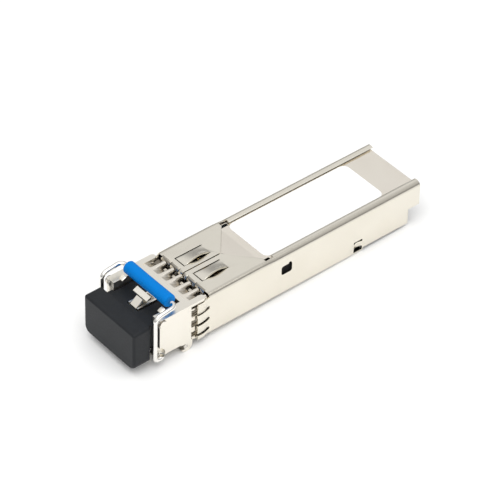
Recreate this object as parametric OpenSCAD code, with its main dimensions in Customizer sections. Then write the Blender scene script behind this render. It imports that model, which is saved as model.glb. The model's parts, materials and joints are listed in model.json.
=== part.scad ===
// Pluggable optical transceiver module with a bail latch and a dust plug.
// Lengths run along Y from the rear end (the host connector end) towards the nose at -Y.
// Heights run along Z from the bottom face of the shell.
// place() moves that datum so that the origin lies under the middle of the whole object.

/* [Shell] */
// Width of the sheet-metal shell
shell_w = 13.4; // [13.3:0.1:13.5]
// Height of the sheet-metal shell
shell_h = 8.5; // [8.4:0.1:8.6]
// Thickness of the shell's sheet
sheet_t = 0.3; // [0.2:0.05:0.3]
// Length of the shell up to the root of its contact fingers
shell_l = 45.8; // [45.6:0.1:46]
// Length of the bottom sheet's opening at the rear end
bottom_opening = 12.5; // [10.4:0.1:13]

/* [Nose] */
// Width of the cast nose
nose_w = 13.7; // [13.6:0.05:13.8]
// Distance from the rear end to the nose's front face
nose_front = 55.85; // [55.6:0.05:55.85]
// Distance from the rear end to the nose's rear shoulder
nose_back = 49.4; // [49.2:0.1:49.5]
// Spacing of the two optical ports
port_pitch = 6.25; // [6.25:0.01:6.25]
// Width and height of a port
port_w = 4.6; // [4.5:0.05:4.7]
// Height of the optical axes above the bottom face
optic_z = 4.35; // [4.3:0.05:4.4]

/* [Bail and latch] */
// Radius of the bail's wire
wire_r = 0.4; // [0.35:0.01:0.4]
// Radius of the plastic sleeve on the bail
sleeve_r = 1.15; // [1:0.05:1.15]
// Length of the plastic sleeve
sleeve_l = 10.8; // [10:0.1:11]
// Distance between the bail's two arms, centre to centre
arm_span = 13.8; // [13.8:0.05:13.9]
// Reach of the release cam's lobe from its axle
lobe_reach = 0.9; // [0.85:0.01:0.9]
// Height of the latch boss
boss_h = 0.45; // [0.4:0.01:0.45]

/* [Dust plug] */
// Width of the dust plug's grip block
plug_w = 12.9; // [12.4:0.1:12.9]
// Height of the dust plug's grip block
plug_h = 7.65; // [7.4:0.05:7.65]
// Distance from the rear end to the dust plug's front face
plug_front = 60.8; // [60.4:0.1:61]
// Width of a prong
prong_w = 4.2; // [4.1:0.05:4.3]

/* [Board] */
// Width of the board where it enters the host connector
edge_w = 9.2; // [9.1:0.1:9.2]
// Thickness of the board
board_t = 1; // [0.9:0.05:1]
// Height of the board's underside above the bottom face
board_z = 2.25; // [2.2:0.05:2.3]

/* [Hidden] */
$fn = 48;
half_w = shell_w / 2;
half_nose = nose_w / 2;
port_x = port_pitch / 2;
half_port = port_w / 2;
// Depth of the pivot ears below the bottom face
ear_drop = 0.95;
// Axis of the bail's axle
bail_y = -56.05;
bail_z = 1.4;
// Radius of the wire's hook round the axle, at the wire's centre
hook_r = 0.8;
// Axis of the sleeve
sleeve_y = -52.6;
sleeve_z = 10;
// Axis of the latch lever's pin
pin_y = -50.4;
pin_z = 0.1;
pin_r = 0.45;
// Radial gap of a running fit
fit_gap = 0.02;
// Steel to plastic colours
nickel = "#e6e1d4";
nickel_dark = "#bdb6a6";
steel = "#c9c9c6";
plastic_black = "#2b2d30";

// ---------------------------------------------------------------- helpers

module place() translate([0, plug_front / 2, ear_drop]) children();

// Box between two corners
module bx(x, y, z) translate([x[0], y[0], z[0]]) cube([x[1] - x[0], y[1] - y[0], z[1] - z[0]]);

// Child and its mirror image across the middle plane
module both_sides() {
    children();
    mirror([1, 0, 0]) children();
}

// Cylinder along X
module x_rod(r, x, y, z) translate([x[0], y, z]) rotate([0, 90, 0]) cylinder(h = x[1] - x[0], r = r);

// Cylinder along Y
module y_rod(r, x, y, z) translate([x, y[1], z]) rotate([90, 0, 0]) cylinder(h = y[1] - y[0], r = r);

// 2D outline in X and Z, extruded along Y
module y_bar(y) translate([0, y[1], 0]) rotate([90, 0, 0]) linear_extrude(y[1] - y[0]) children();

// 2D outline in Y and Z, extruded along X
module x_bar(x) translate([x[0], 0, 0]) rotate([90, 0, 90]) linear_extrude(x[1] - x[0]) children();

// 2D outline in X and Y, extruded along Z
module z_bar(z) translate([0, 0, z[0]]) linear_extrude(z[1] - z[0]) children();

// Rectangle with round corners, between two corners
module round_rect(a, b, r) {
    translate([a[0] + r, a[1]]) square([b[0] - a[0] - 2 * r, b[1] - a[1]]);
    translate([a[0], a[1] + r]) square([b[0] - a[0], b[1] - a[1] - 2 * r]);
    for (u = [a[0] + r, b[0] - r])
        for (v = [a[1] + r, b[1] - r])
            translate([u, v]) circle(r);
}

// Round rod between two points
module rod(a, b, r) {
    d = b - a;
    translate(a) rotate([0, acos(d[2] / norm(d)), atan2(d[1], d[0])]) cylinder(h = norm(d), r = r);
}

// ---------------------------------------------------------------- shell

// Inner edge of a rail folded over the cover, and half the width of the label between the rails
rail_in = 5.2;
label_half = 5.1;
// Height of the cover's top face
cover_z = 8;
// Where the rails begin, and where the front flaps' slit ends
rail_y = -33.3;
slit_y = -37.8;
slit_w = 0.22;
bend_r = 0.5;
tongue_x = 2.3;
tongue_w = 2.25;
tongue_y = [-44.3, -38.9];
tongue_gap = 0.2;
slot_w = 0.3;
// Heights of the slots between the side fingers
finger_slots = [1.35, 3.45, 5.7];
finger_y = -48.35;
flare = 0.35;
top_finger_pitch = 2.1;

module shell_section() {
    difference() {
        round_rect([-half_w, 0], [half_w, shell_h], bend_r);
        round_rect([-half_w + sheet_t, sheet_t], [half_w - sheet_t, shell_h - sheet_t],
            bend_r - sheet_t + 0.1);
    }
}

// Opening in the top that leaves two flaps, a slit and two rails
module top_opening() {
    z_bar([shell_h - 1, shell_h + 1])
        polygon([[-rail_in, 1], [-rail_in, rail_y], [-slit_w / 2, slit_y], [-slit_w / 2, -60],
            [slit_w / 2, -60], [slit_w / 2, slit_y], [rail_in, rail_y], [rail_in, 1]]);
}

// Slots round one bowed spring tongue
module tongue_cut() {
    x = [tongue_x - tongue_w / 2, tongue_x + tongue_w / 2];
    z = [shell_h - 1, shell_h + 1];
    for (u = [x[0] - tongue_gap, x[1]]) bx([u, u + tongue_gap], tongue_y, z);
    bx([x[0] - tongue_gap, x[1] + tongue_gap], [tongue_y[0] - tongue_gap, tongue_y[0]], z);
}

// Rear end of a side wall: cut away below, with two steps
module rear_cut() {
    bx([-8, 8], [-bottom_opening, 1], [-1, 0.75]);
    bx([-8, 8], [-2.45, 1], [-1, 3.75]);
    bx([-8, 8], [-0.1, 1], [shell_h - sheet_t - 0.1, shell_h + 1]);
}

module side_holes() {
    for (s = [-1, 1]) {
        translate([s * half_w, 0, 0]) x_bar([-0.6, 0.6]) round_rect([-30.3, 4.25], [-28.1, 6], 0.25);
        bx(s > 0 ? [half_w - 1, half_w + 1] : [-half_w - 1, -half_w + 1], [-14.5, -12.6], [2.35, 2.6]);
        bx(s > 0 ? [half_w - 1, half_w + 1] : [-half_w - 1, -half_w + 1], [-14.5, -12.6], [0.75, 1.15]);
    }
}

// One row of side fingers, flared outwards
module side_fingers() {
    edges = concat([0.15], finger_slots, [7.75]);
    for (i = [0 : len(edges) - 2])
        z_bar([edges[i] + (i == 0 ? 0 : slot_w / 2), edges[i + 1] - (i == 3 ? 0 : slot_w / 2)])
            polygon([[half_w - sheet_t, -shell_l], [half_w, -shell_l], [half_w + flare, finger_y],
                [half_w + flare - sheet_t, finger_y]]);
}

// Short lips that turn down from the front edge of the top
module top_fingers() {
    for (i = [-2 : 2])
        x_bar([i * top_finger_pitch - 0.85, i * top_finger_pitch + 0.85])
            polygon([[-shell_l, shell_h], [-shell_l, shell_h - sheet_t], [-46.7, shell_h - 0.38],
                [-46.7, shell_h - 0.2]]);
}

module outer_shell() place() color(nickel) {
    difference() {
        y_bar([-shell_l, 0]) shell_section();
        top_opening();
        both_sides() {
            tongue_cut();
            // Relief between a flap and the rail behind it
            bx([rail_in - 0.1, 6.1], [rail_y, rail_y + 1.6], [shell_h - 1, shell_h + 1]);
        }
        rear_cut();
        side_holes();
        // Way for the latch lever
        bx([-3.2, 3.2], [-50, -42.05], [-1, 1]);
        // Notches round the nose's corner tabs
        for (s = [-1, 1])
            translate([s * half_w, -46, shell_h]) cube([2.7, 0.8, 1.5], center = true);
        // Notches between the top fingers
        for (i = [-3 : 2])
            bx([(i + 0.5) * top_finger_pitch - 0.2, (i + 0.5) * top_finger_pitch + 0.2], [-46, -45.1],
                [shell_h - 1, shell_h + 1]);
    }
    both_sides() side_fingers();
    top_fingers();
}

module top_cover() place() color(nickel_dark) difference() {
    union() {
        bx([-6.3, 6.3], [-38.4, -0.4], [7.6, cover_z]);
        both_sides() bx([5.75, 6.1], [-38.4, -3.4], [6.3, 7.6]);
    }
    // Openings behind the flaps that show the folded flange
    both_sides() {
        bx([5.1, 5.75], [-33.5, -31.9], [7, 9]);
        bx([6.1, 7], [-33.2, -31.8], [6, 9]);
    }
}

module label() place() color("white")
    z_bar([cover_z, cover_z + 0.08]) round_rect([-label_half, -32.3], [label_half, -6.6], 1.25);

// ---------------------------------------------------------------- nose

wall_in = port_x + half_port;
roof_z = 8.5;
cut_back = -50.35;
rim_half = 1.2;
rim_z = 7.2;
neck_half = 5.85;

// Outline of a side plate: upright, with a nub and a notch at its top front corner
module side_plate_outline() {
    difference() {
        union() {
            translate([-nose_front, 0.9]) square([nose_front - nose_back, roof_z - 0.95]);
            translate([-55.3, 7.65]) circle(0.8);
        }
        translate([-54.5, 8.75]) circle(0.75);
    }
}

// Hook-shaped ear that carries the latch pin
module ear_outline() {
    difference() {
        union() {
            translate([-50.3, 0.2]) circle(1.15);
            translate([-51.45, 0.2]) square([2.3, 0.9]);
            translate([-50.3, -0.95]) square([0.6, 0.7]);
        }
        translate([-51.2, pin_z - pin_r]) square([0.8, 1]);
        translate([pin_y, pin_z]) circle(pin_r);
        translate([-52, -0.35]) square([0.9, 1.05]);
    }
}

// Outline of a catch bar, which slopes down towards the front
module catch_outline() polygon([[-54.5, 8.35], [-54.5, 8.5], [-53.6, 8.95], [-53.6, 8.35]]);

// Divider between the ports, with a ramp, two rims and a catch bar on top
module divider_top() {
    // Rims
    both_sides() bx([rim_half - 0.3, rim_half], [-nose_front, cut_back], [6.5, rim_z]);
    bx([-rim_half, rim_half], [-52.1, cut_back], [6.5, rim_z]);
    // Ramp
    x_bar([-0.75, 0.75]) polygon([[-nose_front, 6.5], [-nose_front, 7.05], [-54.5, 8.15], [-54.5, 6.5]]);
    // Catch bar on its post
    bx([-0.5, 0.5], [-54.35, -53.3], [6.5, 8.5]);
    x_bar([-1.75, 1.75]) catch_outline();
}

module front_housing() place() color(nickel) {
    difference() {
        union() {
            // Nose block and neck
            bx([-half_nose, half_nose], [-nose_front, -nose_back], [1.25, roof_z - 0.05]);
            both_sides() x_bar([5.95, half_nose]) side_plate_outline();
            bx([-neck_half, neck_half], [-nose_back, -46.3], [0.4, 7.4]);
            bx([-6.3, 6.3], [-nose_back, -46.3], [0.4, 1]);
            // Corner tabs over the shell's front edge
            both_sides() {
                bx([5.75, half_nose], [-nose_back, -46.9], [7.95, roof_z - 0.05]);
                translate([6.3, -46.9, 7.95]) cylinder(h = roof_z - 8, r = 0.55);
            }
            both_sides() x_bar([5.95, half_nose]) ear_outline();
            // Lugs for the bail's axle
            both_sides() {
                bx([5.45, 6.25], [bail_y, -nose_front + 0.5], [bail_z - 0.7, bail_z + 0.7]);
                x_rod(0.7, [5.45, 6.25], bail_y, bail_z);
            }
        }
        // Square ports, each with a narrower way for the plug's latch above it, open at the top
        for (s = [-1, 1]) {
            bx([s * port_x - half_port, s * port_x + half_port], [-57, -48.4],
                [optic_z - half_port, optic_z + half_port]);
            bx([s > 0 ? rim_half : -5.05, s > 0 ? 5.05 : -rim_half], [-57, -49.2], [6.5, 7.6]);
            // Hole for the optical sub-assembly's snout
            y_rod(1.45, s * port_x, [-49, -46], optic_z);
        }
        // Open top of the nose
        bx([-5.05, 5.05], [-57, cut_back], [6.5, 10]);
        // Recess for the bail's hook on each side, and the axle's hole
        both_sides() x_rod(1.3, [6.25, 8], bail_y, bail_z);
        x_rod(wire_r + fit_gap, [-8, 8], bail_y, bail_z);
        // Pocket for the leg of the latch spring
        both_sides() bx([4.6, 5.3], [-50, -48.2], [-1, 1.4]);
        // Way for the cam and the lever under the floor
        bx([-3.2, 3.2], [-57, -46], [-1, 1.55]);
        x_rod(0.98, [-3.2, 3.2], bail_y, bail_z);
    }
    divider_top();
    // Half bars on the outer walls
    both_sides() x_bar([4.5, 5.4]) catch_outline();
}

// Collar of contact strips round the neck, held by a hoop just behind it that is open below
module emi_collar() place() color(nickel_dark) {
    difference() {
        y_bar([-49.35, -45.9]) difference() {
            round_rect([-6.5, 0.4], [6.5, 8.3], 0.4);
            translate([-6.33, -3]) square([12.66, 11.05]);
        }
        // The strips end under the shell's front edge
        bx([-8, 8], [-46.75, -45], [8.1, 9]);
        both_sides() bx([6.38, 8], [-46.75, -45], [-1, 9]);
        // Windows in the top
        for (i = [-2.5 : 1 : 2.5])
            bx([i * top_finger_pitch - 0.6, i * top_finger_pitch + 0.6], [-48.9, -47.1], [7.8, 9]);
        // Windows in the sides
        for (z = [[1.2, 2], [3.1, 4.6], [5.3, 6.8], [7.2, 7.7]]) bx([-8, 8], [-49.1, -46.4], z);
        // Way for the nose's corner tabs and ears
        both_sides() bx([5.65, 7], [-50, -46.25], [7.9, 9]);
        bx([-8, 8], [-50, -49.1], [-1, 1.15]);
    }
    // Hoop
    y_bar([-46.25, -45.9]) difference() {
        round_rect([-6.37, 0.42], [6.37, 8.12], 0.35);
        translate([-6.05, 0.75]) square([12.1, 7]);
        translate([-3.4, 0]) square([6.8, 2]);
    }
}

module base_tray() place() color(plastic_black) difference() {
    union() {
        bx([-6.05, 6.05], [-41.8, -bottom_opening - 0.2], [0.32, 0.9]);
        both_sides() {
            bx([5, 6.35], [-41.8, -bottom_opening - 0.2], [0.9, board_z]);
            bx([5.9, 6.35], [-41.8, -bottom_opening - 0.2], [board_z, 5.9]);
            bx([5, 6.35], [-bottom_opening - 0.2, -2.7], [0.9, board_z]);
        }
    }
    // Room behind the shell's crimp slots
    both_sides() bx([5.95, 7], [-15, -12.2], [0.6, 2.9]);
}

// ---------------------------------------------------------------- board

module circuit_board() place() color("#1f6b3a") z_bar([board_z, board_z + board_t]) difference() {
    union() {
        translate([-5.8, -38]) square([11.6, 25]);
        translate([-edge_w / 2, -13.5]) square([edge_w, 10.3]);
    }
    for (s = [-1, 1]) translate([s * 5.8, -25]) circle(0.7);
}

module edge_contacts() place() color("#d9a936") {
    for (i = [0 : 9])
        for (z = [board_z - 0.04, board_z + board_t])
            translate([(i - 4.5) * 0.8 - 0.27, -6.4, z]) cube([0.54, i % 3 == 0 ? 2.9 : 2.4, 0.04]);
}

chip_z = board_z + board_t;

// Flat chip package with a ring of leads under its edge
module chip(x, y, w, h) {
    translate([x - w / 2, y - w / 2, chip_z + 0.1]) cube([w, w, h - 0.1]);
    translate([x - w / 2 + 0.15, y - w / 2 + 0.15, chip_z]) cube([w - 0.3, w - 0.3, 0.1]);
}

module laser_driver() place() color("#333333") chip(-3, -31, 4, 0.9);
module limiting_amplifier() place() color("#333333") chip(3, -31, 4, 0.9);
module microcontroller() place() color("#333333") chip(-3, -22, 5, 0.85);
module memory_chip() place() color("#333333") chip(3, -22, 3, 0.8);

// Small chip parts: rows of resistors and capacitors
module chip_passives() place() color("#b59a72")
    for (x = [-4.8, -3.4, -2, 2, 3.4, 4.8])
        for (y = [-27.6, -26.4, -18.2, -17])
            translate([x - 0.5, y - 0.25, chip_z]) cube([1, 0.5, 0.4]);

module ferrite_beads() place() color("#4a4a4a")
    for (x = [-3.4, -1.2, 1.2, 3.4]) translate([x - 0.8, -14.4, chip_z]) cube([1.6, 0.8, 0.8]);

module thermal_pad() place() color("#9fb4c4") bx([-4.9, -1.1], [-32.9, -29.1], [chip_z + 0.9, 7.6]);

module shield_wall() place() color(steel) {
    bx([-0.12, 0.12], [-43.6, -20], [chip_z + 0.05, 7.5]);
    bx([-0.12, 0.9], [-36, -34.6], [chip_z, chip_z + 0.2]);
}

// ---------------------------------------------------------------- optics

// Snout, flange and barrel of an optical sub-assembly
module osa_barrel(x) difference() {
    union() {
        y_rod(1.4, x, [-51.5, -46.2], optic_z);
        y_rod(2.2, x, [-46.25, -45.5], optic_z);
        y_rod(1.85, x, [-45.5, -42.5], optic_z);
    }
    y_rod(1, x, [-52, -46.6], optic_z);
}

// Split ceramic sleeve that centres the ferrule
module osa_sleeve(x) difference() {
    y_rod(1, x, [-51.3, -46.6], optic_z);
    y_rod(0.63, x, [-52, -46], optic_z);
}

// Transistor-outline can and its header
module osa_can(x) {
    y_rod(1.8, x, [-42.5, -40.4], optic_z);
    y_rod(2.3, x, [-40.4, -39.6], optic_z);
    for (a = [45 : 90 : 315])
        y_rod(0.22, x + 1.1 * cos(a), [-39.6, -39.2], optic_z + 1.1 * sin(a));
}

// Flexible circuit from the header down to the board
module osa_flex(x) difference() {
    x_bar([x - 1.8, x + 1.8])
        polygon([[-39.55, 6.3], [-39.4, 6.3], [-39.4, chip_z + 0.55], [-38.7, chip_z + 0.17],
            [-35.4, chip_z + 0.17], [-35.4, chip_z + 0.02], [-38.75, chip_z + 0.02],
            [-39.55, chip_z + 0.45]]);
    for (a = [45 : 90 : 315]) y_rod(0.24, x + 1.1 * cos(a), [-40, -39], optic_z + 1.1 * sin(a));
}

module tosa_barrel() place() color("#cbb26a") osa_barrel(-port_x);
module rosa_barrel() place() color("#cfcfcf") osa_barrel(port_x);
module tosa_sleeve() place() color("#f4f2ea") osa_sleeve(-port_x);
module rosa_sleeve() place() color("#f4f2ea") osa_sleeve(port_x);
module tosa_can() place() color("#d8b75a") osa_can(-port_x);
module rosa_can() place() color("#d8b75a") osa_can(port_x);
module tosa_flex() place() color("#c98a2b") osa_flex(-port_x);
module rosa_flex() place() color("#c98a2b") osa_flex(port_x);

module optics_clamp() place() color(steel) difference() {
    bx([-6.3, 6.3], [-45.4, -43.9], [1.7, 7.5]);
    for (s = [-1, 1]) {
        y_rod(1.88, s * port_x, [-46, -43], optic_z);
        bx([s * port_x - 1.88, s * port_x + 1.88], [-46, -43], [optic_z, 9]);
    }
}

// ---------------------------------------------------------------- latch

module latch_pin() place() color(steel) x_rod(pin_r, [-half_nose + 0.05, half_nose - 0.05], pin_y, pin_z);

// Torsion spring coiled on the pin, with one leg under the floor and one over the lever
module latch_spring() place() color(steel) {
    coil_r = pin_r + 0.22;
    for (i = [0 : 4])
        translate([3.5 + 0.36 * i, pin_y, pin_z]) rotate([0, 90, 0])
            rotate_extrude() translate([coil_r, 0]) circle(0.19);
    x = 3.5 + 0.36 * 4;
    rod([x, pin_y + 0.2, pin_z + coil_r], [x, pin_y + 1.9, 1.02], 0.19);
}

// Lever with a cam follower in front, a barrel on the pin and the latch boss at its rear end
module latch_lever() place() color(nickel) difference() {
    union() {
        x_bar([-3, 3]) polygon([[-56.7, 0.4], [-56.7, 0.88], [-55.2, 0.88], [-54, 0.55],
            [-42.4, 0.55], [-42.4, 0.03], [-54.2, 0.03], [-55.4, 0.4]]);
        x_rod(0.95, [-3, 3], pin_y, pin_z);
        x_bar([-1.3, 1.3])
            polygon([[-45, 0.1], [-45, -boss_h], [-44.6, -boss_h], [-42.5, 0.03], [-42.5, 0.1]]);
    }
    x_rod(pin_r + fit_gap, [-4, 4], pin_y, pin_z);
}

// ---------------------------------------------------------------- bail

arm_x = arm_span / 2;
corner_r = 1;
top_bend = 1.25;

// Centre of the bend between arm and leg, and the angle at which the sloping arm runs into it
bend_y = bail_y - hook_r + top_bend;
bend_z = 8.5;
bend_start = 98;

// Part of a ring in a plane across X, between two angles
module elbow(x, y, z, ring_r, from, to)
    translate([x, y, z]) rotate([90, 0, 90]) rotate([0, 0, from]) rotate_extrude(angle = to - from)
        translate([ring_r, 0]) circle(wire_r);

module bail_half() {
    // Corner from the sleeve's axis into the arm
    translate([arm_x - corner_r, sleeve_y - corner_r, sleeve_z]) rotate_extrude(angle = 90)
        translate([corner_r, 0]) circle(wire_r);
    bend_from = [arm_x, bend_y + top_bend * cos(bend_start), bend_z + top_bend * sin(bend_start)];
    rod([arm_x, sleeve_y - corner_r, sleeve_z], bend_from, wire_r);
    elbow(arm_x, bend_y, bend_z, top_bend, bend_start, 180);
    rod([arm_x, bail_y - hook_r, bail_z], [arm_x, bail_y - hook_r, bend_z], wire_r);
    elbow(arm_x, bail_y, bail_z, hook_r, 180, 330);
}

module bail_wire() place() color(steel) {
    x_rod(wire_r, [corner_r - arm_x, arm_x - corner_r], sleeve_y, sleeve_z);
    both_sides() bail_half();
}

module bail_sleeve() place() color("#0a74d6") difference() {
    x_rod(sleeve_r, [-sleeve_l / 2, sleeve_l / 2], sleeve_y, sleeve_z);
    x_rod(wire_r, [-8, 8], sleeve_y, sleeve_z);
}

module release_cam() place() color(steel) {
    x_rod(wire_r, [-arm_x - 0.3, arm_x + 0.3], bail_y, bail_z);
    x_bar([-2.6, 2.6]) {
        translate([bail_y - lobe_reach + 0.3, bail_z]) circle(0.3);
        translate([bail_y - lobe_reach + 0.3, bail_z - 0.3]) square([lobe_reach - 0.3, 0.6]);
    }
}

// ---------------------------------------------------------------- dust plug

plug_back = -57.5;
plug_z = 0.1;

// Outline of the grip block, rounder below than above
module grip_outline() {
    translate([-plug_w / 2, plug_z]) union() {
        round_rect([0, 0], [plug_w, plug_h - 1], 1.4);
        round_rect([0, 2.4], [plug_w, plug_h], 0.45);
    }
}

module dust_plug() place() color(plastic_black) difference() {
    union() {
        // Grip block
        y_bar([-plug_front, plug_back]) grip_outline();
        // Shoulder behind the block
        bx([-5.3, 5.3], [plug_back, -55.95], [2.3, 6.95]);
        for (s = [-1, 1]) {
            bx([s * port_x - prong_w / 2, s * port_x + prong_w / 2], [-55.95, -49.2],
                [optic_z - prong_w / 2, optic_z + prong_w / 2]);
            bx([s * port_x - 1.7, s * port_x + 1.7], [-55.95, -51], [optic_z + prong_w / 2, 6.95]);
        }
    }
    for (s = [-1, 1]) y_rod(1.6, s * port_x, [-55, -49], optic_z);
}

// ---------------------------------------------------------------- nodes

outer_shell();
top_cover();
label();
front_housing();
emi_collar();
base_tray();
circuit_board();
edge_contacts();
laser_driver();
limiting_amplifier();
microcontroller();
memory_chip();
chip_passives();
ferrite_beads();
tosa_barrel();
tosa_can();
tosa_sleeve();
tosa_flex();
rosa_barrel();
rosa_can();
rosa_sleeve();
rosa_flex();
optics_clamp();
shield_wall();
thermal_pad();
latch_pin();
latch_spring();
latch_lever();
bail_wire();
bail_sleeve();
release_cam();
dust_plug();
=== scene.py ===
import json
import math

import bmesh
import bpy
from mathutils import Matrix, Vector
from mathutils.geometry import delaunay_2d_cdt

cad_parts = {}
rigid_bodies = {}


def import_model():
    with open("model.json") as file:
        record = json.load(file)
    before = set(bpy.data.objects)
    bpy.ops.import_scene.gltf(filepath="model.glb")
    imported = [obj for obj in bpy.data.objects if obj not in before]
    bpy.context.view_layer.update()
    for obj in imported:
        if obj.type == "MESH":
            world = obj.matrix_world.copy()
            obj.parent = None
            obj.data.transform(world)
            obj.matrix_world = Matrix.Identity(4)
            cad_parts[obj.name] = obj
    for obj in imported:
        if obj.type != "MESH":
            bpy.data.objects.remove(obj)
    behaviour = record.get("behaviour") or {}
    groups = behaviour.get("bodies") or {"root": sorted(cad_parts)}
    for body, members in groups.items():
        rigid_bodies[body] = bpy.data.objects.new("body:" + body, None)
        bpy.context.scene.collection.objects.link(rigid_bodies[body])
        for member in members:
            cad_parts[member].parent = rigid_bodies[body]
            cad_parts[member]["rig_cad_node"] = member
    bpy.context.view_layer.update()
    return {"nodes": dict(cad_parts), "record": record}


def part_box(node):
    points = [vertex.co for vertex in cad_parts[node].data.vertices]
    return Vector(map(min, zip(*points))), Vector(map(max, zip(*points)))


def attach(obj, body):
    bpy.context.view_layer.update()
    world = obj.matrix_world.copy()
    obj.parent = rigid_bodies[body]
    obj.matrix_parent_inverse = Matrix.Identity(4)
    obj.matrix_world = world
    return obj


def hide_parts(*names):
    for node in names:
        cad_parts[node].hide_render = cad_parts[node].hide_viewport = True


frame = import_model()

NODES = frame["nodes"]
MM = 0.001

# The shell's own datum: y = 0 at its rear end, z = 0 at its bottom face, in millimetres
SHELL_LOW, SHELL_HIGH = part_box("outer_shell")
DATUM_Y = SHELL_HIGH.y / MM
DATUM_Z = SHELL_LOW.z / MM


def at(x, y, z):
    """A point given in millimetres from the shell's datum, in the frame's metres."""
    return Vector((x, y + DATUM_Y, z + DATUM_Z)) * MM


# ---------------------------------------------------------------- camera, light and floor

CAMERA_TARGET = (0.0, -30.0, 4.0)
CAMERA_AZIMUTH = math.radians(49.02)
CAMERA_ELEVATION = math.radians(40.81)
CAMERA_ROLL = math.radians(1.71)
CAMERA_DISTANCE = 516.0
CAMERA_LENS = 225.97
FRAMING_RIGHT = -1.096
FRAMING_UP = 0.756


def add_camera():
    """The camera at the photograph's viewing angle."""
    back = Vector((math.sin(CAMERA_AZIMUTH) * math.cos(CAMERA_ELEVATION),
                   -math.cos(CAMERA_AZIMUTH) * math.cos(CAMERA_ELEVATION),
                   math.sin(CAMERA_ELEVATION)))
    level = Vector((0, 0, 1)).cross(back).normalized()
    upright = back.cross(level)
    right = level * math.cos(CAMERA_ROLL) + upright * math.sin(CAMERA_ROLL)
    up = upright * math.cos(CAMERA_ROLL) - level * math.sin(CAMERA_ROLL)
    place = (at(*CAMERA_TARGET) + back * CAMERA_DISTANCE * MM + right * FRAMING_RIGHT * MM
             + up * FRAMING_UP * MM)
    data = bpy.data.cameras.new("camera")
    data.lens = CAMERA_LENS
    data.sensor_width = 36.0
    data.clip_start = 0.01
    data.clip_end = 20.0
    camera = bpy.data.objects.new("camera", data)
    bpy.context.scene.collection.objects.link(camera)
    camera.matrix_world = Matrix.Translation(place) @ Matrix((right, up, back)).transposed().to_4x4()
    bpy.context.scene.camera = camera


# The place that the soft boxes face, in datum millimetres
LIGHT_TARGET = (0, -28, 4)


def add_area(name, place, size, power, colour):
    """A soft box at a place in datum millimetres, with its size in millimetres."""
    data = bpy.data.lights.new(name, "AREA")
    data.shape = "RECTANGLE"
    data.size = size[0] * MM
    data.size_y = size[1] * MM
    data.energy = power
    data.color = colour
    light = bpy.data.objects.new(name, data)
    bpy.context.scene.collection.objects.link(light)
    light.location = at(*place)
    light.rotation_euler = (at(*LIGHT_TARGET) - light.location).to_track_quat("-Z", "Y").to_euler()


# The studio surround: brightness by the height of the direction, dark at the horizon
SURROUND = [(0.0, 0.9), (0.49, 0.9), (0.51, 0.32), (0.6, 0.40), (0.75, 0.76), (0.83, 0.86), (1.0, 0.86)]


def add_world():
    """A studio surround that is bright above and dark round the horizon."""
    world = bpy.data.worlds.new("studio")
    world.use_nodes = True
    tree = world.node_tree
    coords = tree.nodes.new("ShaderNodeTexCoord")
    split = tree.nodes.new("ShaderNodeSeparateXYZ")
    height = tree.nodes.new("ShaderNodeMapRange")
    height.inputs["From Min"].default_value = -1.0
    ramp = tree.nodes.new("ShaderNodeValToRGB")
    stops = ramp.color_ramp.elements
    while len(stops) < len(SURROUND):
        stops.new(0.5)
    for stop, (position, level) in zip(stops, SURROUND):
        stop.position = position
        stop.color = (level, level, level, 1)
    tree.links.new(coords.outputs["Generated"], split.inputs[0])
    tree.links.new(split.outputs["Z"], height.inputs["Value"])
    tree.links.new(height.outputs["Result"], ramp.inputs[0])
    tree.links.new(ramp.outputs["Color"], tree.nodes["Background"].inputs["Color"])
    bpy.context.scene.world = world


# The module rests on its pivot ears and on the rear edge of its bottom sheet
REST_FRONT = (-50.3, -0.95)
REST_REAR = (-12.5, 0.0)
FLOOR_HALF = 1.5            # metres
FLOOR_TONE = 0.96


def add_floor():
    """A plain pale floor through the two lines on which the module rests."""
    tilt = math.atan2(REST_REAR[1] - REST_FRONT[1], REST_REAR[0] - REST_FRONT[0])
    mesh = bpy.data.meshes.new("floor")
    corners = [(x * FLOOR_HALF, y * FLOOR_HALF, 0) for x, y in ((-1, -1), (1, -1), (1, 1), (-1, 1))]
    mesh.from_pydata(corners, [], [(0, 1, 2, 3)])
    floor = bpy.data.objects.new("floor", mesh)
    bpy.context.scene.collection.objects.link(floor)
    floor.location = at(0, *REST_FRONT)
    floor.rotation_euler = (tilt, 0, 0)
    material = bpy.data.materials.new("floor_paper")
    material.use_nodes = True
    shader = material.node_tree.nodes["Principled BSDF"]
    shader.inputs["Base Color"].default_value = (FLOOR_TONE, FLOOR_TONE, FLOOR_TONE, 1)
    shader.inputs["Roughness"].default_value = 0.9
    shader.inputs["Specular IOR Level"].default_value = 0.1
    mesh.materials.append(material)


# ---------------------------------------------------------------- materials

# Face attribute of the metal pieces: how much painted shade, a dull brown mixed into the colour, they have
# there, from 0 to 1
PAINTED_SHADE_LAYER = "painted_shade"
PAINTED_SHADE_COLOUR = (0.10, 0.078, 0.055)
INNER_PAINTED_SHADE = 0.85           # painted shade on a sheet's inner side


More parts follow.
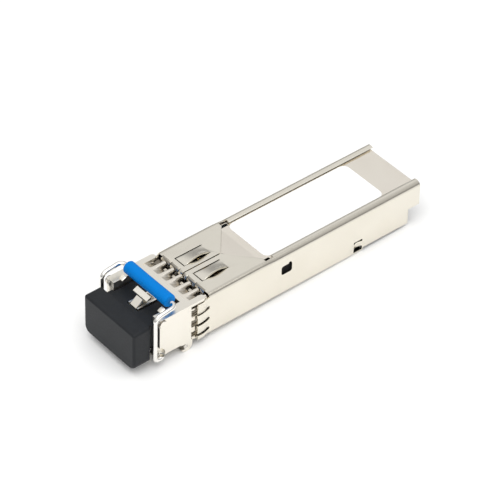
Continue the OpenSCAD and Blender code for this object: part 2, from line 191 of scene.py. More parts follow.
class Nodes:
    """A material's node tree with short ways to add and join nodes."""

    def __init__(self, name):
        self.material = bpy.data.materials.new(name)
        self.material.use_nodes = True
        self.tree = self.material.node_tree
        self.shader = self.tree.nodes["Principled BSDF"]
        self.coords = self.tree.nodes.new("ShaderNodeTexCoord").outputs["Object"]

    def link(self, output, socket):
        """Joins an output to one of the shader's sockets."""
        self.tree.links.new(output, self.shader.inputs[socket])

    def set(self, **values):
        """Sets the shader's own sockets, named with _ for a space."""
        for name, value in values.items():
            self.shader.inputs[name.replace("_", " ")].default_value = value

    def noise(self, per_mm, detail, rough=0.55, stretch=(1, 1, 1)):
        """Noise with per_mm waves in a millimetre, stretched along an axis if wanted."""
        mapping = self.tree.nodes.new("ShaderNodeMapping")
        for i in range(3):
            mapping.inputs["Scale"].default_value[i] = stretch[i] / MM
        self.tree.links.new(self.coords, mapping.inputs["Vector"])
        node = self.tree.nodes.new("ShaderNodeTexNoise")
        node.inputs["Scale"].default_value = per_mm
        node.inputs["Detail"].default_value = detail
        node.inputs["Roughness"].default_value = rough
        self.tree.links.new(mapping.outputs["Vector"], node.inputs["Vector"])
        return node.outputs["Fac"]

    def ramp(self, value, stops):
        """A colour ramp from (position, colour) stops."""
        node = self.tree.nodes.new("ShaderNodeValToRGB")
        elements = node.color_ramp.elements
        while len(elements) < len(stops):
            elements.new(0.5)
        for element, (position, colour) in zip(elements, stops):
            element.position = position
            element.color = (*colour, 1)
        self.tree.links.new(value, node.inputs["Fac"])
        return node.outputs["Color"]

    def spread(self, noise, low, high):
        """Noise, which stays mostly between 0.3 and 0.7, mapped to a range."""
        node = self.tree.nodes.new("ShaderNodeMapRange")
        node.inputs["From Min"].default_value = 0.3
        node.inputs["From Max"].default_value = 0.7
        node.inputs["To Min"].default_value = low
        node.inputs["To Max"].default_value = high
        self.tree.links.new(noise, node.inputs["Value"])
        return node.outputs["Result"]

    def bump(self, height, distance, under=None):
        """A bump of that depth in millimetres, over another bump if given."""
        node = self.tree.nodes.new("ShaderNodeBump")
        node.inputs["Distance"].default_value = distance * MM
        self.tree.links.new(height, node.inputs["Height"])
        if under:
            self.tree.links.new(under, node.inputs["Normal"])
        return node.outputs["Normal"]

    def paint_shade_into(self, colour):
        """The colour, going to the painted shade's dull brown as the face attribute says."""
        shade_mark = self.tree.nodes.new("ShaderNodeAttribute")
        shade_mark.attribute_name = PAINTED_SHADE_LAYER
        mix = self.tree.nodes.new("ShaderNodeMix")
        mix.data_type = "RGBA"
        mix.inputs["B"].default_value = (*PAINTED_SHADE_COLOUR, 1)
        self.tree.links.new(shade_mark.outputs["Fac"], mix.inputs["Factor"])
        self.tree.links.new(colour, mix.inputs["A"])
        return mix.outputs["Result"]


def metal(name, light, dark, roughness, grain=(1, 1, 1), depth=0.0006, waviness=0.0):
    """Plated or bare metal: a slight tone drift, a grain in the roughness and a fine bump."""
    n = Nodes(name)
    n.set(Metallic=1.0)
    tone = n.noise(0.16, detail=4.0)
    # The base colour takes the painted shade that the face attribute marks
    n.link(n.paint_shade_into(n.ramp(tone, [(0.35, dark), (0.65, light)])), "Base Color")
    fine = n.noise(3.0, detail=5.0, stretch=grain)
    n.link(n.spread(fine, roughness * 0.93, roughness * 1.08), "Roughness")
    normal = n.bump(fine, depth)
    if waviness:
        normal = n.bump(n.noise(0.22, detail=1.5), waviness, under=normal)
    n.link(normal, "Normal")
    return n.material


def plastic(name, light, dark, roughness, depth, coat=0.0, specular=0.5):
    """Moulded plastic with a fine spark texture and a slight tone drift."""
    n = Nodes(name)
    n.set(Coat_Weight=coat, Specular_IOR_Level=specular)
    tone = n.noise(0.5, detail=5.0, rough=0.65)
    n.link(n.ramp(tone, [(0.3, dark), (0.7, light)]), "Base Color")
    grain = n.noise(5.0, detail=4.0, rough=0.6)
    n.link(n.spread(grain, roughness * 0.85, roughness * 1.15), "Roughness")
    n.link(n.bump(grain, depth), "Normal")
    return n.material


MATERIALS = {
    "nickel_shell": metal("nickel_shell", (0.815, 0.777, 0.69), (0.785, 0.745, 0.655), 0.2,
                          grain=(3, 0.25, 3), depth=0.00006, waviness=0.0025),
    "nickel_casting": metal("nickel_casting", (0.875, 0.842, 0.765), (0.855, 0.815, 0.735), 0.3,
                            depth=0.00008, waviness=0.0015),
    "nickel_inner": metal("nickel_inner", (0.88, 0.83, 0.745), (0.855, 0.80, 0.715), 0.24,
                          depth=0.0001, waviness=0.001),
    "wire_steel": metal("wire_steel", (0.92, 0.90, 0.86), (0.88, 0.86, 0.82), 0.13, depth=0.0001),
    "spring_steel": metal("spring_steel", (0.74, 0.72, 0.68), (0.64, 0.61, 0.56), 0.28, depth=0.0004),
    "white_label": plastic("white_label", (0.93, 0.93, 0.93), (0.90, 0.90, 0.905), 0.42, 0.0006),
    "board_green": plastic("board_green", (0.035, 0.17, 0.065), (0.02, 0.12, 0.045), 0.3, 0.002, coat=0.5),
    "contact_gold": metal("contact_gold", (0.95, 0.68, 0.28), (0.88, 0.60, 0.22), 0.2),
    "chip_black": plastic("chip_black", (0.03, 0.03, 0.032), (0.02, 0.02, 0.022), 0.55, 0.004),
    "chip_tan": plastic("chip_tan", (0.42, 0.30, 0.18), (0.34, 0.23, 0.13), 0.5, 0.003),
    "ferrite_grey": plastic("ferrite_grey", (0.09, 0.088, 0.085), (0.06, 0.06, 0.058), 0.5, 0.005),
    "osa_steel": metal("osa_steel", (0.82, 0.80, 0.76), (0.74, 0.72, 0.68), 0.22, grain=(3, 0.3, 3)),
    "can_gold": metal("can_gold", (0.93, 0.70, 0.33), (0.85, 0.61, 0.26), 0.22),
    "zirconia": plastic("zirconia", (0.86, 0.85, 0.80), (0.82, 0.80, 0.75), 0.2, 0.0005),
    "flex_amber": plastic("flex_amber", (0.55, 0.24, 0.04), (0.45, 0.18, 0.03), 0.35, 0.001, coat=0.4),
    # Black polymer whose near-black tone and low shine also paint the shade seen inside the side windows
    "tray_black": plastic("tray_black", (0.005, 0.005, 0.0055), (0.003, 0.003, 0.0035), 0.6, 0.002,
                          specular=0.08),
    "pad_blue": plastic("pad_blue", (0.30, 0.42, 0.52), (0.24, 0.35, 0.45), 0.8, 0.004),
    "sleeve_blue": plastic("sleeve_blue", (0.0, 0.195, 0.62), (0.0, 0.182, 0.59), 0.5, 0.0006, specular=0.08),
    "plug_black": plastic("plug_black", (0.0095, 0.0115, 0.0145), (0.0065, 0.008, 0.0105), 0.5, 0.0016,
                          specular=0.3),
}


def dress(obj, slot):
    """Gives an object one material."""
    obj.data.materials.clear()
    obj.data.materials.append(MATERIALS[slot])


NODE_SLOTS = {part["node"]: part["material_slot"] for part in frame["record"]["subparts"]}


def dress_nodes():
    """Gives every CAD node its finish."""
    for name, obj in NODES.items():
        dress(obj, NODE_SLOTS[name])


# ---------------------------------------------------------------- mesh helpers


def make_piece(name, mesh, body, slot, *nodes):
    """Links a new piece, lets it ride on its body and stand for the nodes it replaces."""
    piece = bpy.data.objects.new(name, mesh)
    bpy.context.scene.collection.objects.link(piece)
    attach(piece, body)
    if nodes:
        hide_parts(*nodes)
    dress(piece, slot)
    weighted = piece.modifiers.new("even_normals", "WEIGHTED_NORMAL")
    weighted.keep_sharp = True
    weighted.weight = 90


def smooth(mesh, angle):
    """Smooth shading that stays sharp over the given angle."""
    mesh.shade_smooth()
    mesh.set_sharp_from_angle(angle=math.radians(angle))


def to_mesh(work, name, angle=32):
    """Turns a bmesh into a mesh with smooth shading, and frees it."""
    mesh = bpy.data.meshes.new(name)
    work.to_mesh(mesh)
    work.free()
    smooth(mesh, angle)
    return mesh


def bevel(work, edges, width, segments):
    """Rounds edges of a bmesh; the width is in millimetres."""
    bmesh.ops.bevel(work, geom=edges, offset=width * MM, offset_type="OFFSET", segments=segments,
                    profile=0.5, affect="EDGES", clamp_overlap=True)


def bevel_sharp(work, width, angle=35, segments=2):
    """Rounds all edges of a bmesh that are sharper than an angle."""
    edges = [e for e in work.edges
             if len(e.link_faces) == 2 and e.calc_face_angle() > math.radians(angle)]
    bevel(work, edges, width, segments)


def cad_bmesh(node):
    """A CAD node's mesh as a bmesh without doubled points."""
    work = bmesh.new()
    work.from_mesh(NODES[node].data)
    bmesh.ops.remove_doubles(work, verts=work.verts, dist=0.0005 * MM)
    return work


def join_flat_faces(work):
    """Joins the triangles of a bmesh's flat faces."""
    bmesh.ops.dissolve_limit(work, angle_limit=math.radians(1.0), verts=work.verts, edges=work.edges)


def refined(node, body, width):
    """A copy of a CAD node with its edges rounded, in the node's place."""
    work = cad_bmesh(node)
    join_flat_faces(work)
    bevel_sharp(work, width)
    mesh = to_mesh(work, node + "_skin")
    make_piece(node + "_skin", mesh, body, NODE_SLOTS[node], node)


def inside(point, outline):
    """Whether a flat point lies inside an outline."""
    x, y = point
    odd = False
    for (ax, ay), (bx, by) in zip(outline, outline[1:] + outline[:1]):
        if (ay > y) != (by > y) and x < ax + (y - ay) / (by - ay) * (bx - ax):
            odd = not odd
    return odd


def arc(centre, radius, start, end, steps=6):
    """Points on a flat arc, in degrees."""
    angles = [math.radians(start + (end - start) * i / steps) for i in range(steps + 1)]
    return [(centre[0] + radius * math.cos(a), centre[1] + radius * math.sin(a)) for a in angles]


def rounded(low, high, radii):
    """A rectangle's outline, anticlockwise, with four radii that start at its lower left corner."""
    points = []
    places = [(low[0], low[1], 1, 1, 180), (high[0], low[1], -1, 1, 270),
              (high[0], high[1], -1, -1, 0), (low[0], high[1], 1, -1, 90)]
    for (x, y, dx, dy, start), r in zip(places, radii):
        points += arc((x + dx * r, y + dy * r), r, start, start + 90) if r > 0 else [(x, y)]
    return points


def steps_between(low, high, count):
    """Evenly spaced values from low to high, both included."""
    return [low + (high - low) * i / count for i in range(count + 1)]


# ---------------------------------------------------------------- shell

# The sheet's section in millimetres, as in the CAD model
HALF_W = 6.7
SHELL_H = 8.5
SHEET_T = 0.3
BOTTOM_BEND = 0.5
FLAP_BEND = 0.6
RAIL_BEND = 0.85
SIDE = HALF_W               # where the side wall starts in the flat pattern
TOP = HALF_W + SHELL_H      # where the top starts in it

# Bottom: its rear and front edges, and half the latch's opening in front
BOTTOM_REAR = -12.5
BOTTOM_FRONT = -42.05
LATCH_HALF = 3.2

# Step in the side wall's rear end
STEP_Y = -2.45
STEP_Z = (0.75, 3.75)

# Rails: inner edge, ends, the relief cut in front of them, and how their inner edges roll down
RAIL_IN = 5.2
RAIL_Y = -33.3
RAIL_REAR = -0.1
RELIEF_IN = 6.1
RELIEF_LEN = 1.6
RAIL_CURL_FROM = 5.85
RAIL_CURL_R = 0.4
RAIL_CURL = math.radians(58)
# Where the top bend widens from the flap's radius to the rail's
WIDENING_Y = (RAIL_Y - 1.2, RAIL_Y + 1.4)

# Slit between the flaps
SLIT_Y = -37.8
SLIT_HALF = 0.11

# Lips along the front edge of the top, curled down on to the collar
LIP_ROOT = -45.25
LIP_END = -46.2
LIP_CURL_R = 0.5
LIP_CURL = math.radians(60)
LIP_PITCH = 2.1
LIPS_HALF = 5.4
SHOULDER_Y = -45.6

# Contact fingers down the front edge of the side, and the slots between them
FINGER_ROOT = -45.8
FINGER_END = -48.15
FINGER_FLARE = 0.32
FINGER_CURL = 0.62          # how much of a half wave each finger's bow is
FINGERS_Z = (0.15, 7.75)
FINGER_SLOTS = (5.7, 3.45, 1.35)
SLOT_REAR = 0.34
SLOT_FRONT = 0.27

# Spring tongues
TONGUES = ((-3.45, -1.2), (1.2, 3.45))
TONGUE_Y = (-44.3, -38.9)
TONGUE_RISE = 0.8
TONGUE_GAP = 0.2
TONGUE_SLIT = 0.08          # along the edge that stays flush

# Window in the side, with a notch in its upper rear corner, as (height, y)
WINDOW_Z = (4.2, 6.0)
WINDOW_Y = (-30.35, -28.1)
WINDOW_RADII = (0.4, 0.4, 0.3, 0.4)
WINDOW_NOTCH = [(6.0, -28.8), (6.28, -28.75), (6.28, -28.3), (6.0, -28.25), (5.85, -28.1)]

# Crimp slots low on the side, and the strip between them that is pushed in
CRIMP_SLOTS = ((0.5, 1.25), (2.2, 2.72))
CRIMP_Y = (-14.5, -12.65)
CRIMP_DEPTH = 0.28
CRIMP_ROUND = 0.12
CRIMP_STRIP = (SIDE + CRIMP_SLOTS[0][1], SIDE + CRIMP_SLOTS[1][0])

# Painted shade in the plating's colour: a darker band at the middle of the top bends, and dark bands with
# lighter strokes on the lips
BEND_PAINTED_SHADE = 0.36
LIP_PAINTED_SHADE = 0.62
LIP_STROKE_PAINTED_SHADE = 0.1
LIP_SHADED_BAND = (0.18, 0.85)     # the painted-shade band of each lip, as shares of the pitch

SLACK = 0.01                # for points that lie on an edge, in millimetres


def on_top(x):
    """The flat pattern's coordinate of a place x on the top."""
    return TOP + HALF_W - x


def half_outline():
    """The right half of the flat pattern: distance round the section from the bottom's middle, and y."""
    points = [(0, BOTTOM_REAR), (SIDE + STEP_Z[0], BOTTOM_REAR), (SIDE + STEP_Z[0], STEP_Y),
              (SIDE + STEP_Z[1], STEP_Y), (SIDE + STEP_Z[1], 0), (on_top(RAIL_IN), RAIL_REAR),
              (on_top(RAIL_IN), RAIL_Y + RELIEF_LEN), (on_top(RELIEF_IN), RAIL_Y + RELIEF_LEN),
              (on_top(RELIEF_IN), RAIL_Y), (on_top(RAIL_IN), RAIL_Y), (on_top(SLIT_HALF), SLIT_Y)]
    # The lips, each cut a little askew
    lip = 0
    while (lip + 0.5) * LIP_PITCH < LIPS_HALF:
        x = (lip + 0.5) * LIP_PITCH
        start = SLIT_HALF if lip == 0 else x - LIP_PITCH + 0.07
        points += [(on_top(start), LIP_END + 0.16), (on_top(x - 0.07), LIP_END - 0.06),
                   (on_top(x - 0.05), LIP_ROOT + 0.02), (on_top(x + 0.05), LIP_ROOT + 0.02)]
        lip += 1
    points[-2:] = [(on_top(LIPS_HALF), LIP_END)]
    low, top = FINGERS_Z
    points += [(on_top(LIPS_HALF), SHOULDER_Y), (SIDE + top, SHOULDER_Y)]
    for slot in FINGER_SLOTS:
        points += [(SIDE + top, FINGER_END), (SIDE + slot + SLOT_FRONT, FINGER_END)]
        points += [(SIDE + slot + v, y) for v, y in arc((0, FINGER_ROOT), SLOT_REAR, 0, 180)]
        top = slot - SLOT_FRONT
    points += [(SIDE + top, FINGER_END), (SIDE + low, FINGER_END), (SIDE + low, FINGER_ROOT),
               (LATCH_HALF, FINGER_ROOT), (LATCH_HALF, BOTTOM_FRONT), (0, BOTTOM_FRONT)]
    return points


def shell_holes():
    """The holes of the whole flat pattern."""
    window = rounded((SIDE + WINDOW_Z[0], WINDOW_Y[0]), (SIDE + WINDOW_Z[1], WINDOW_Y[1]), WINDOW_RADII)
    # The notch takes the place of the third corner's arc
    window[14:21] = [(SIDE + z, y) for z, y in WINDOW_NOTCH]
    right = [window] + [rounded((SIDE + low, CRIMP_Y[0]), (SIDE + high, CRIMP_Y[1]), (CRIMP_ROUND,) * 4)
                        for low, high in CRIMP_SLOTS]
    holes = [[(-u, y) for u, y in hole] for hole in right] + right
    for left, right in TONGUES:
        front, rear = TONGUE_Y
        outline = [(left - TONGUE_GAP, rear), (left - TONGUE_GAP, front - TONGUE_GAP),
                   (right + TONGUE_SLIT, front - TONGUE_GAP), (right + TONGUE_SLIT, rear), (right, rear),
                   (right, front), (left, front), (left, rear)]
        sign = 1 if left > 0 else -1
        holes.append([(sign * on_top(abs(x)), y) for x, y in outline])
    return holes


def pattern_lines():
    """Lines that the flat pattern is divided along, so that it can bend."""
    lines = []
    for side in (-1, 1):
        for corner, bend, count in ((SIDE, BOTTOM_BEND, 6), (TOP, RAIL_BEND, 10)):
            lines += [((side * u, 0.5), (side * u, -49))
                      for u in steps_between(corner - bend, corner + bend, count)]
        # Even divisions of the side wall keep its shading even
        lines += [((side * (SIDE + BOTTOM_BEND), y), (side * (TOP - RAIL_BEND), y))
                  for y in steps_between(-44, -2, 28)]
        lines += [((side * on_top(0), y), (side * on_top(5.5), y))
                  for y in steps_between(LIP_ROOT, LIP_END, 9)]
        lines += [((side * SIDE, y), (side * (SIDE + 7.9), y))
                  for y in steps_between(FINGER_ROOT, FINGER_END, 8)]
        lines += [((side * CRIMP_STRIP[0], y), (side * CRIMP_STRIP[1], y))
                  for y in steps_between(*CRIMP_Y, 8)]
        lines += [((side * on_top(x), 0.5), (side * on_top(x), RAIL_Y + RELIEF_LEN))
                  for x in steps_between(RAIL_IN, RAIL_CURL_FROM, 6)]
        lines += [((side * (TOP - 1), y), (side * on_top(RAIL_IN), y))
                  for y in steps_between(*WIDENING_Y, 8)]
    for left, right in TONGUES:
        sign = 1 if left > 0 else -1
        ends = [sign * on_top(abs(x)) for x in (left, right)]
        lines += [((ends[0], y), (ends[1], y)) for y in steps_between(*TONGUE_Y, 24)]
        lines += [((u, TONGUE_Y[0]), (u, TONGUE_Y[1])) for u in steps_between(*ends, 8)]
    return lines


def blend_between(value, low, high):
    """An even run from 0 at low to 1 at high, level at both ends."""
    t = min(1.0, max(0.0, (value - low) / (high - low)))
    return t * t * (3 - 2 * t)


def fold(u, y):
    """Where a point of the flat pattern lies on the folded sheet, and which way it faces."""
    side = -1 if u < 0 else 1
    u = abs(u)
    top_bend = FLAP_BEND + (RAIL_BEND - FLAP_BEND) * blend_between(y, *WIDENING_Y)
    x, z, nx, nz = (u, 0, 0, -1) if u < SIDE else (HALF_W, u - SIDE, 1, 0)
    if u > TOP:
        x, z, nx, nz = HALF_W - (u - TOP), SHELL_H, 0, 1
    for corner, bend, centre_z, start in ((SIDE, BOTTOM_BEND, BOTTOM_BEND, -90),
                                          (TOP, top_bend, SHELL_H - top_bend, 0)):
        if abs(u - corner) < bend:
            angle = math.radians(start + 90 * (u - corner + bend) / (2 * bend))
            nx, nz = math.cos(angle), math.sin(angle)
            x, z = HALF_W - bend + bend * nx, centre_z + bend * nz
    ny = 0.0
    if u > TOP and y < LIP_ROOT:
        # The front edge of the top curls down on to the collar
        length = LIP_ROOT - y
        angle = min(length / LIP_CURL_R, LIP_CURL)
        rest = length - angle * LIP_CURL_R
        y = LIP_ROOT - LIP_CURL_R * math.sin(angle) - rest * math.cos(angle)
        z -= LIP_CURL_R * (1 - math.cos(angle)) + rest * math.sin(angle)
        ny, nz = -math.sin(angle), math.cos(angle)
    elif u > on_top(RAIL_CURL_FROM) and y > RAIL_Y + 0.1:
        # The rail's inner edge rolls down towards the cover
        angle = RAIL_CURL * (u - on_top(RAIL_CURL_FROM)) / (RAIL_CURL_FROM - RAIL_IN)
        nx, nz = -math.sin(angle), math.cos(angle)
        x = RAIL_CURL_FROM - (RAIL_CURL_FROM - RAIL_IN) * math.sin(angle) / math.sin(RAIL_CURL)
        z -= RAIL_CURL_R * (1 - math.cos(angle))
    elif CRIMP_STRIP[0] - SLACK < u < CRIMP_STRIP[1] + SLACK and CRIMP_Y[0] < y < CRIMP_Y[1]:
        # The strip between the crimp slots is pushed in
        x -= CRIMP_DEPTH * math.sin(math.pi * (y - CRIMP_Y[0]) / (CRIMP_Y[1] - CRIMP_Y[0]))
    elif u < TOP and y < FINGER_ROOT:
        # The contact fingers flare out and curl back in at their tips
        t = (FINGER_ROOT - y) / (FINGER_ROOT - FINGER_END)
        x += FINGER_FLARE * math.sin(math.pi * FINGER_CURL * t)
    return side * x, y, z, side * nx, ny, nz


def tongue_rise(x, y):
    """How far a spring tongue stands up: its right edge bows up, its left edge stays flush."""
    for left, right in TONGUES:
        if left - SLACK <= x <= right + SLACK and TONGUE_Y[0] - SLACK <= y <= TONGUE_Y[1] + SLACK:
            along = (y - TONGUE_Y[0] - 0.5) / (TONGUE_Y[1] - TONGUE_Y[0] - 0.5)
            bow = math.sin(math.pi * min(1.0, max(0.0, along))) ** 0.85
            return TONGUE_RISE * bow * max(0.0, (x - left) / (right - left)) ** 1.15
    return 0.0


def painted_shade_at(u, y):
    """How much painted shade the plating has at a place of the flat pattern: a darker band on the top bends,
    and dark bands with lighter strokes on the lips.
    """
    from_bend = abs(abs(u) - TOP)
    if from_bend < RAIL_BEND:
        return BEND_PAINTED_SHADE * (1 - (from_bend / RAIL_BEND) ** 2)
    if abs(u) < on_top(LIPS_HALF) or y > LIP_ROOT - 0.12:
        return 0.0
    across = (on_top(0) - abs(u)) / LIP_PITCH + 0.5 + (LIP_ROOT - y) * 0.3
    return LIP_PAINTED_SHADE if LIP_SHADED_BAND[0] < across % 1.0 < LIP_SHADED_BAND[1] else LIP_STROKE_PAINTED_SHADE


def build_shell():
    """The folded sheet-metal shell from its flat pattern."""
    right = half_outline()
    outline = right + [(-u, y) for u, y in reversed(right[1:-1])]
    holes = shell_holes()
    points, edges = [], []
    for loop in [outline] + holes:
        first = len(points)
        points += loop
        edges += [(first + i, first + (i + 1) % len(loop)) for i in range(len(loop))]
    for a, b in pattern_lines():
        edges.append((len(points), len(points) + 1))
        points += [a, b]
    flat, _, faces, *_ = delaunay_2d_cdt([Vector(p) for p in points], edges, [], 0, 1e-5)
    kept = {}
    for face in faces:
        middle = sum((flat[i] for i in face), Vector((0, 0))) / len(face)
        if inside(middle, outline) and not any(inside(middle, hole) for hole in holes):
            kept[tuple(face)] = painted_shade_at(*middle)
    work = bmesh.new()
    painted_shade = work.faces.layers.float.new(PAINTED_SHADE_LAYER)
    outer, inner = {}, {}
    for i in sorted({i for face in kept for i in face}):
        x, y, z, nx, ny, nz = fold(*flat[i])
        if z > SHELL_H - SLACK:
            z += tongue_rise(x, y)
        outer[i] = work.verts.new(at(x, y, z))
        inner[i] = work.verts.new(at(x - nx * SHEET_T, y - ny * SHEET_T, z - nz * SHEET_T))
    used = {}
    for face, shade_level in kept.items():
        # Painted shade: the outer side takes its share by place on the pattern, the inner side a fixed
        # darkening
        work.faces.new([outer[i] for i in face])[painted_shade] = shade_level
        work.faces.new([inner[i] for i in reversed(face)])[painted_shade] = INNER_PAINTED_SHADE
        for a, b in zip(face, face[1:] + face[:1]):
            used[(a, b)] = True
    # The rim joins the two sides along the edges that only one face uses
    for a, b in used:
        if (b, a) not in used:
            work.faces.new([outer[b], outer[a], inner[a], inner[b]])
    bmesh.ops.recalc_face_normals(work, faces=work.faces)
    bevel_sharp(work, 0.04, angle=60)
    mesh = to_mesh(work, "shell_sheet", 40)
    make_piece("shell_sheet", mesh, "module", "nickel_shell", "outer_shell")


# ---------------------------------------------------------------- collar and cover

COLLAR_HALF = 6.45
COLLAR_TOP = 8.27
COLLAR_LOW = 0.45
COLLAR_BEND = 0.4
COLLAR_T = 0.12
COLLAR_Y = (-49.35, -45.95)
# Valleys between the contact strips: (middle, half width), across the top and up the side
TOP_VALLEYS = [((i + 0.5) * LIP_PITCH, 0.72) for i in range(-3, 3)]
SIDE_VALLEYS = [(1.55, 0.45), (3.75, 0.62), (5.95, 0.62), (7.35, 0.3)]
VALLEY_DEPTH = 1.15
VALLEY_Y = (-48.85, -46.3)
SIDE_VALLEY_Y = (-49.25, -48.6)     # where a side valley reaches its depth
COLLAR_BULGE = 0.05


def valley(value, valleys):
    """How deep a place is in the nearest valley, from 0 to 1."""
    deepest = 0.0
    for middle, half in valleys:
        deepest = max(deepest, 1 - blend_between(abs(value - middle), half * 0.55, half * 1.15))
    return deepest


def sheet_piece(name, body, slot, place, us, vs, thickness, *nodes):
    """A closed thin sheet from a grid. place(u, v) gives a point and its normal in datum millimetres, and how
    much painted shade the plating has there."""
    work = bmesh.new()
    painted_shade = work.faces.layers.float.new(PAINTED_SHADE_LAYER)
    outer, inner, shade_marks = [], [], []
    for u in us:
        places = [place(u, v) for v in vs]
        outer.append([work.verts.new(at(*p)) for p, _, _ in places])
        inner.append([work.verts.new(at(*(p[i] - n[i] * thickness for i in range(3)))) for p, n, _ in places])
        shade_marks.append([shade_mark for _, _, shade_mark in places])
    last_u, last_v = len(us) - 1, len(vs) - 1
    for i in range(last_u):
        for j in range(last_v):
            skin = work.faces.new([outer[i][j], outer[i + 1][j], outer[i + 1][j + 1], outer[i][j + 1]])
            # Painted shade: the outer face takes the grid's shade, the inner face the fixed inner shade
            skin[painted_shade] = (shade_marks[i][j] + shade_marks[i + 1][j + 1]) / 2
            back = work.faces.new([inner[i][j + 1], inner[i + 1][j + 1], inner[i + 1][j], inner[i][j]])
            back[painted_shade] = INNER_PAINTED_SHADE
        for j in (0, last_v):
            work.faces.new([outer[i][j], inner[i][j], inner[i + 1][j], outer[i + 1][j]])
    for j in range(last_v):
        for i in (0, last_u):
            work.faces.new([outer[i][j], outer[i][j + 1], inner[i][j + 1], inner[i][j]])
    bmesh.ops.recalc_face_normals(work, faces=work.faces)
    make_piece(name, to_mesh(work, name, 50), body, slot, *nodes)


def collar_place(u, y):
    """A place on the collar, whose section runs up the left side, over the top and down the right side."""
    side_len = COLLAR_TOP - COLLAR_LOW
    width = 2 * COLLAR_HALF
    if u < side_len:
        x, z, nx, nz = -COLLAR_HALF, COLLAR_LOW + u, -1, 0
    elif u < side_len + width:
        x, z, nx, nz = u - side_len - COLLAR_HALF, COLLAR_TOP, 0, 1
    else:
        x, z, nx, nz = COLLAR_HALF, COLLAR_TOP - (u - side_len - width), 1, 0
    depth = valley(x, TOP_VALLEYS) if nz else valley(z, SIDE_VALLEYS)
    for corner, start in ((side_len, 180), (side_len + width, 90)):
        if abs(u - corner) < COLLAR_BEND:
            angle = math.radians(start - 90 * (u - corner + COLLAR_BEND) / (2 * COLLAR_BEND))
            nx, nz = math.cos(angle), math.sin(angle)
            middle = math.copysign(COLLAR_HALF - COLLAR_BEND, x)
            x, z = middle + COLLAR_BEND * nx, COLLAR_TOP - COLLAR_BEND + COLLAR_BEND * nz
            depth = 0.0
    along = min(1.0, max(0.0, (y - VALLEY_Y[0]) / (VALLEY_Y[1] - VALLEY_Y[0])))
    if not nz:
        along = blend_between(y, *SIDE_VALLEY_Y)
    # Painted shade: the colour darkens to dull brown with the valley's depth
    shade_mark = 0.95 * depth * along
    depth *= VALLEY_DEPTH * along
    depth -= COLLAR_BULGE * math.sin(math.pi * (y - COLLAR_Y[0]) / (COLLAR_Y[1] - COLLAR_Y[0]))
    return (x - nx * depth, y, z - nz * depth), (nx, 0, nz), shade_mark


def build_collar():
    """The ring of contact strips between the shell and the nose."""
    length = 2 * (COLLAR_TOP - COLLAR_LOW) + 2 * COLLAR_HALF
    sheet_piece("collar_strips", "module", "nickel_inner", collar_place, steps_between(0, length, 240),
                steps_between(*COLLAR_Y, 28), COLLAR_T, "emi_collar")


# The cover's tip: heights of its top at the rear and at the point, and of its underside
TIP_TOP = (7.98, 8.4)
TIP_LOW = 7.7


def build_cover():
    """The cover, and the raised tip of it that lies between the flaps' slanting edges."""
    refined("top_cover", "module", 0.04)
    work = bmesh.new()
    back, tip = RAIL_Y - 0.12, SLIT_Y + 0.16
    corners = [(-RAIL_IN + 0.14, back, TIP_TOP[0]), (RAIL_IN - 0.14, back, TIP_TOP[0]), (0, tip, TIP_TOP[1])]
    top = [work.verts.new(at(*c)) for c in corners]
    low = [work.verts.new(at(x, y, TIP_LOW)) for x, y, _ in corners]
    work.faces.new(top)
    work.faces.new(list(reversed(low)))
    for i in range(3):
        work.faces.new([top[i], low[i], low[(i + 1) % 3], top[(i + 1) % 3]])
    bmesh.ops.recalc_face_normals(work, faces=work.faces)
    bevel_sharp(work, 0.03)
    make_piece("cover_tip", to_mesh(work, "cover_tip"), "module", "nickel_inner")


# ---------------------------------------------------------------- nose, plug and bail

# Painted shade on the listed bands of a lathed piece
RING_PAINTED_SHADE = 0.8


def lathe(name, body, slot, profile, axis, steps, nodes=(), shaded_bands=()):
    """A solid of revolution about an axis along X at (y, z): profile gives (x, radius) from end to end."""
    work = bmesh.new()
    painted_shade = work.faces.layers.float.new(PAINTED_SHADE_LAYER)
    rings = []
    for x, radius in profile:
        rings.append([work.verts.new(at(x, axis[0] + radius * math.cos(2 * math.pi * i / steps),
                                        axis[1] + radius * math.sin(2 * math.pi * i / steps)))
                      for i in range(steps)])
    for band, (a, b) in enumerate(zip(rings, rings[1:])):
        for i in range(steps):
            j = (i + 1) % steps
            face = work.faces.new([a[i], a[j], b[j], b[i]])
            # Painted shade on the listed bands
            face[painted_shade] = RING_PAINTED_SHADE if band in shaded_bands else 0.0
    for ring in (rings[0], rings[-1]):
        work.faces.new(ring)
    bmesh.ops.recalc_face_normals(work, faces=work.faces)
    make_piece(name, to_mesh(work, name, 40), body, slot, *nodes)


PLUG_FRONT_ROUND = 0.5
PLUG_ROUND = 0.12


def build_plug():
    """The dust plug, with a wide round on the front face's edges and a fine one elsewhere."""
    work = cad_bmesh("dust_plug")
    join_flat_faces(work)
    front = min(v.co.y for v in work.verts) + SLACK * MM
    rim = [e for e in work.edges if all(v.co.y < front for v in e.verts)]
    bevel(work, rim, PLUG_FRONT_ROUND, 5)
    bevel_sharp(work, PLUG_ROUND, angle=50, segments=3)
    make_piece("plug_body", to_mesh(work, "plug_body", 30), "plug", "plug_black", "dust_plug")


# The bail's sleeve and wire; the two axes are (y, z)
SLEEVE_AXIS = (-52.6, 10.0)
SLEEVE_R = 1.15
SLEEVE_HALF = 5.4
SLEEVE_END_ROUND = 0.28
SLEEVE_WAIST = 0.03
SLEEVE_WAIST_HALF = 4.6
BAIL_AXIS = (-56.05, 1.4)
WIRE_R = 0.4
ARM_X = 6.9
CORNER_R = 1.0              # between the sleeve and the arm
BEND_R = 1.25               # between the arm and the leg
HOOK_R = 0.8                # distance of the leg and the foot from the axle
HEEL_R = 0.64               # between the leg and the foot
TOE_R = 0.45                # between the foot and the wire's end
TOE_FORWARD = 0.22
BEND_AT = (BAIL_AXIS[0] - HOOK_R + BEND_R, 8.5)


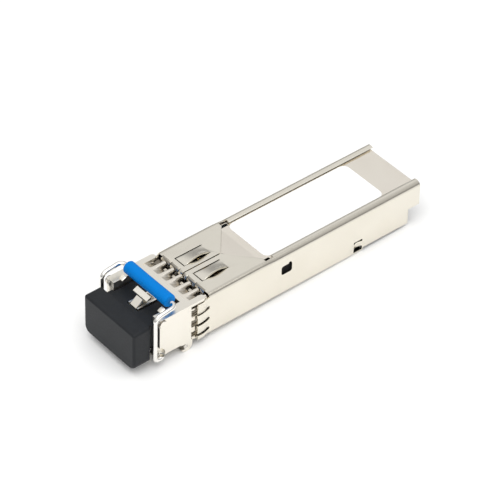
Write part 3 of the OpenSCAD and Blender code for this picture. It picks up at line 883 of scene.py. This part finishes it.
def build_sleeve():
    """The bail's soft sleeve: a round bar, barely waisted, with rounded ends."""
    end = SLEEVE_END_ROUND
    profile = [(-SLEEVE_HALF, SLEEVE_R - end - 0.1)]
    for a in steps_between(0, 90, 6):
        r = math.radians(a)
        profile.append((-SLEEVE_HALF + end * (1 - math.cos(r)), SLEEVE_R - end * (1 - math.sin(r))))
    middle = [(x, SLEEVE_R - SLEEVE_WAIST * (1 - (x / SLEEVE_HALF) ** 2))
              for x in steps_between(-SLEEVE_WAIST_HALF, SLEEVE_WAIST_HALF, 10)]
    profile += middle + [(-x, r) for x, r in reversed(profile)]
    lathe("sleeve_body", "bail", "sleeve_blue", profile, SLEEVE_AXIS, 56, ("bail_sleeve",))


def build_bail():
    """The bail's bent wire as one smooth sweep, from hook to hook."""
    half = [(ARM_X - CORNER_R, SLEEVE_AXIS[0], SLEEVE_AXIS[1])]
    half += [(x, y, SLEEVE_AXIS[1])
             for x, y in arc((ARM_X - CORNER_R, SLEEVE_AXIS[0] - CORNER_R), CORNER_R, 75, 0, 5)]
    foot_z = BAIL_AXIS[1] - HOOK_R
    heel = (BAIL_AXIS[0] - HOOK_R + HEEL_R, foot_z + HEEL_R)
    toe = (BAIL_AXIS[0] + TOE_FORWARD, foot_z + TOE_R)
    half += [(ARM_X, y, z) for y, z in arc(BEND_AT, BEND_R, 98, 180, 8) + arc(heel, HEEL_R, 180, 270, 8)
             + arc(toe, TOE_R, 270, 350, 8)]
    path = [(-x, y, z) for x, y, z in reversed(half)] + half
    curve = bpy.data.curves.new("bail_bend", "CURVE")
    curve.dimensions = "3D"
    curve.bevel_depth = WIRE_R * MM
    curve.bevel_resolution = 6
    curve.use_fill_caps = True
    spline = curve.splines.new("POLY")
    spline.points.add(len(path) - 1)
    for point, place in zip(spline.points, path):
        point.co = (*at(*place), 1)
    sweep = bpy.data.objects.new("bail_sweep", curve)
    bpy.context.scene.collection.objects.link(sweep)
    mesh = bpy.data.meshes.new_from_object(sweep.evaluated_get(bpy.context.evaluated_depsgraph_get()))
    bpy.data.objects.remove(sweep)
    mesh.name = "bail_bend"
    smooth(mesh, 40)
    make_piece("bail_bend", mesh, "bail", "wire_steel", "bail_wire")


def build_cam():
    """The release cam, with its axle ending inside the wire's hooks."""
    work = cad_bmesh("release_cam")
    end = (ARM_X - WIRE_R) * MM
    for vert in work.verts:
        vert.co.x = max(-end, min(end, vert.co.x))
    make_piece("cam_body", to_mesh(work, "cam_body"), "bail", "wire_steel", "release_cam")


# The bosses: axis as (y, z), foot and shoulder as distances from the middle, radius and edge round
BOSS_AXIS = (-55.25, 7.6)
BOSS_FOOT = 6.6
BOSS_SHOULDER = 7.08
BOSS_R = 0.74
BOSS_ROUND = 0.07


def build_bosses():
    """A low domed boss at the top front corner of each side of the nose."""
    for side, name in ((-1, "nose_boss_left"), (1, "nose_boss_right")):
        profile = [(BOSS_FOOT, BOSS_R), (BOSS_SHOULDER, BOSS_R)]
        for a in steps_between(22.5, 90, 3):
            r = math.radians(a)
            profile.append((BOSS_SHOULDER + BOSS_ROUND * math.sin(r),
                            BOSS_R - BOSS_ROUND * (1 - math.cos(r))))
        profile += [(BOSS_SHOULDER + 0.09, 0.35), (BOSS_SHOULDER + 0.1, 0.05)]
        # Painted shade on the boss's side wall and the start of its round
        lathe(name, "module", "nickel_casting", [(side * x, r) for x, r in profile], BOSS_AXIS, 32,
              shaded_bands=(0, 1))


bpy.context.scene.view_settings.view_transform = "Standard"
add_camera()
add_world()
add_area("softbox_top", (70, -90, 330), (420, 320), 0.66, (1.0, 1.0, 0.99))
add_area("softbox_right", (320, -230, 190), (260, 200), 0.14, (1.0, 0.99, 0.97))
add_floor()
dress_nodes()
build_shell()
build_collar()
build_cover()
refined("front_housing", "module", 0.06)
refined("latch_lever", "lever", 0.04)
build_bosses()
build_plug()
build_sleeve()
build_bail()
build_cam()
